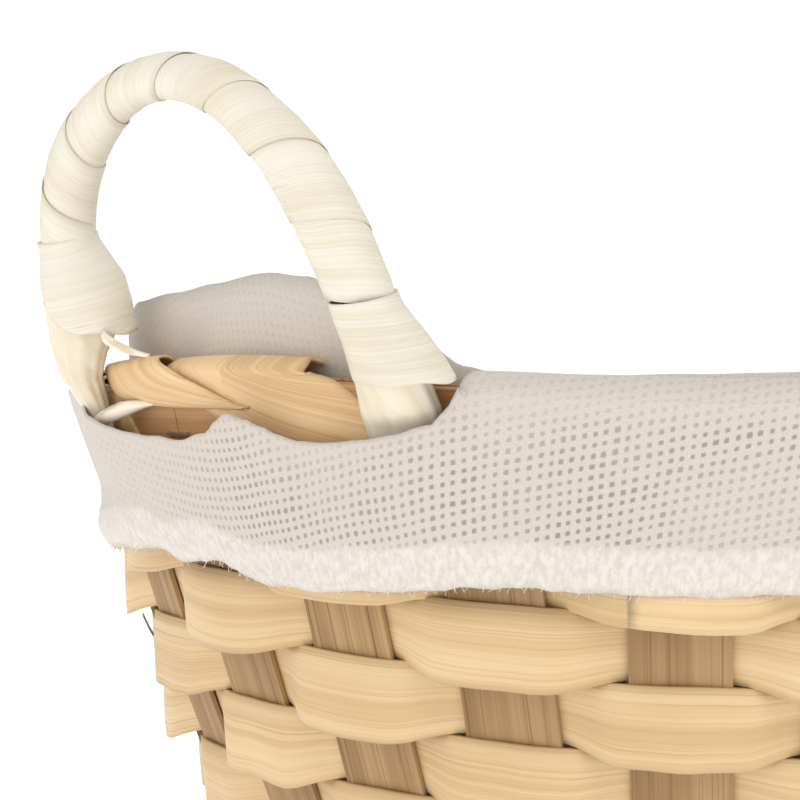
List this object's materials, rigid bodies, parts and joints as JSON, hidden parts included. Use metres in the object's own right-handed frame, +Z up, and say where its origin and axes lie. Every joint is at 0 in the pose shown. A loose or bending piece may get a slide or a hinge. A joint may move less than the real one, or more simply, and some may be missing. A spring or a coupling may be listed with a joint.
{
  "type": "banneton basket",
  "caption": "Round proofing basket woven from flat wood chip, with loop handles on the rim and a cloth liner folded over the edge.",
  "frame": {"origin": "centre of the base, at the height of the table it stands on", "axes": "+Z up; the handles stand over the X axis, on +X and -X; +Y is between them"},
  "size_m": [0.3422, 0.3122, 0.1998],
  "materials": {
    "stake_chip": "unfinished split chip with strong grain",
    "weaver_chip": "unfinished shaved chip, light straw yellow, fine grain",
    "hoop_wood": "unfinished bent splint",
    "lashing_chip": "unfinished shaved chip",
    "handle_core": "peeled cane",
    "handle_leaf": "dried pale leaf strip, smooth, slight sheen",
    "cloth": "coarse open weave, off-white, matt",
    "staple_wire": "plain wire"
  },
  "bodies": {
    "root": {"base_strip_x_1": "stake_chip", "base_strip_x_2": "stake_chip", "base_strip_x_3": "stake_chip", "base_strip_x_4": "stake_chip", "base_strip_x_5": "stake_chip", "base_strip_x_6": "stake_chip", "base_strip_y_1": "stake_chip", "base_strip_y_2": "stake_chip", "base_strip_y_3": "stake_chip", "base_strip_y_4": "stake_chip", "base_strip_y_5": "stake_chip", "base_strip_y_6": "stake_chip", "weaver_1": "weaver_chip", "weaver_2": "weaver_chip", "weaver_3": "weaver_chip", "weaver_4": "weaver_chip", "weaver_5": "weaver_chip", "weaver_6": "weaver_chip", "weaver_7": "weaver_chip", "weaver_8": "weaver_chip", "rim_hoop_outer": "hoop_wood", "rim_hoop_inner": "hoop_wood", "rim_lashing": "lashing_chip", "rim_staples": "staple_wire", "handle_core_left": "handle_core", "handle_wrap_left": "handle_leaf", "handle_cuff_left_back": "handle_leaf", "foot_strap_left_back": "handle_leaf", "handle_cuff_left_front": "handle_leaf", "foot_strap_left_front": "handle_leaf", "handle_core_right": "handle_core", "handle_wrap_right": "handle_leaf", "handle_cuff_right_back": "handle_leaf", "foot_strap_right_back": "handle_leaf", "handle_cuff_right_front": "handle_leaf", "foot_strap_right_front": "handle_leaf", "liner_base": "cloth", "liner_side_right": "cloth", "liner_side_back": "cloth", "liner_side_left": "cloth", "liner_side_front": "cloth"}
  },
  "joints": []
}
